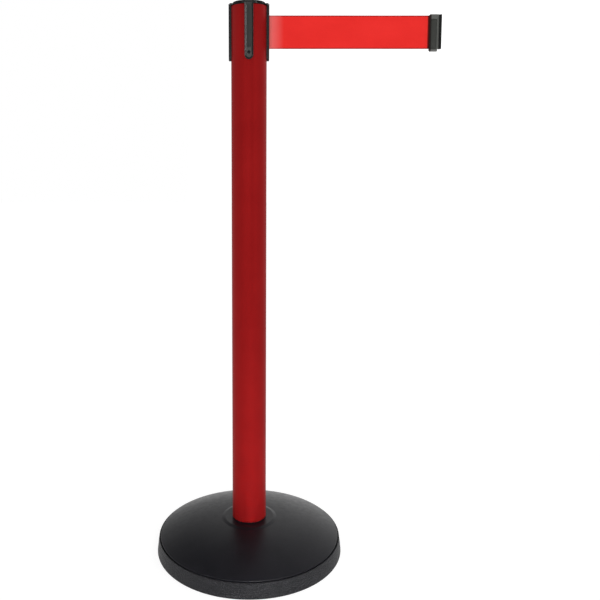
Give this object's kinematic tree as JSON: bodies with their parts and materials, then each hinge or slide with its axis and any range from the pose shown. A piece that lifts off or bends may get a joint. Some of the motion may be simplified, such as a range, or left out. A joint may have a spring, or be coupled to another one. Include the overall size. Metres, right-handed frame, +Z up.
{
  "type": "retractable belt stanchion",
  "caption": "Free-standing post on a weighted round base, with a spring-wound webbing belt, T clip and slotted receivers round its head for linking posts into a queue barrier.",
  "frame": {"origin": "on the floor at the post's axis, at the underside of the base", "axes": "+Z up along the post; +X the way the belt is drawn out"},
  "size_m": [0.5163, 0.35, 1.016],
  "materials": {
    "red_paint": "satin powder coat",
    "black_plastic": "moulded, satin",
    "grey_plastic": "moulded, fine grain",
    "cover_plastic": "smooth satin",
    "rubber": "coarse grain",
    "cast_iron": "rough cast",
    "steel": "zinc plated",
    "spring_steel": "blued",
    "black_oxide": "blackened",
    "clip_plastic": "moulded, satin",
    "nylon": "natural",
    "webbing": "woven polyester"
  },
  "bodies": {
    "post": {"floor_ring": "rubber", "base_weight": "cast_iron", "base_cover": "cover_plastic", "bolt_cover_plug": "rubber", "anchor_bolt": "steel", "spring_washer": "spring_steel", "flat_washer": "steel", "post_collar": "black_plastic", "foot_insert": "cast_iron", "post_tube": "red_paint", "belt_exit_rail": "black_plastic", "receiver_back": "black_plastic", "receiver_left": "black_plastic", "receiver_front": "black_plastic", "rail_screw_exit": "black_oxide", "rail_screw_back": "black_oxide", "rail_screw_left": "black_oxide", "rail_screw_front": "black_oxide", "top_cap": "black_plastic", "cap_screw": "steel", "head_core": "grey_plastic", "spool_axle": "steel", "cassette_shell": "grey_plastic", "thrust_washer": "nylon"},
    "spool": {"spool_drum": "grey_plastic", "lower_bush": "nylon", "upper_bush": "nylon", "belt_roll": "webbing", "power_spring": "spring_steel", "spring_cover": "grey_plastic"},
    "belt_end": {"belt_web": "webbing", "belt_pin": "steel", "clip_body": "clip_plastic", "clip_cover": "grey_plastic"}
  },
  "joints": [
    {"name": "belt_pull", "type": "slide", "parent": "post", "child": "belt_end", "axis": [1, 0, 0], "range_m": [-0.2835, 2], "stiffness_N_per_m": 4, "springref_m": -2, "deforming": ["belt_web"]},
    {"name": "spool_spin", "type": "hinge", "parent": "post", "child": "spool", "pos_m": [0, 0, 0.965], "axis": [0, 0, 1], "range_deg": [-8100, 1200], "deforming": ["power_spring"]}
  ],
  "couplings": [
    {"joint": "spool_spin", "follows": "belt_pull", "rad_per_m": -70}
  ]
}
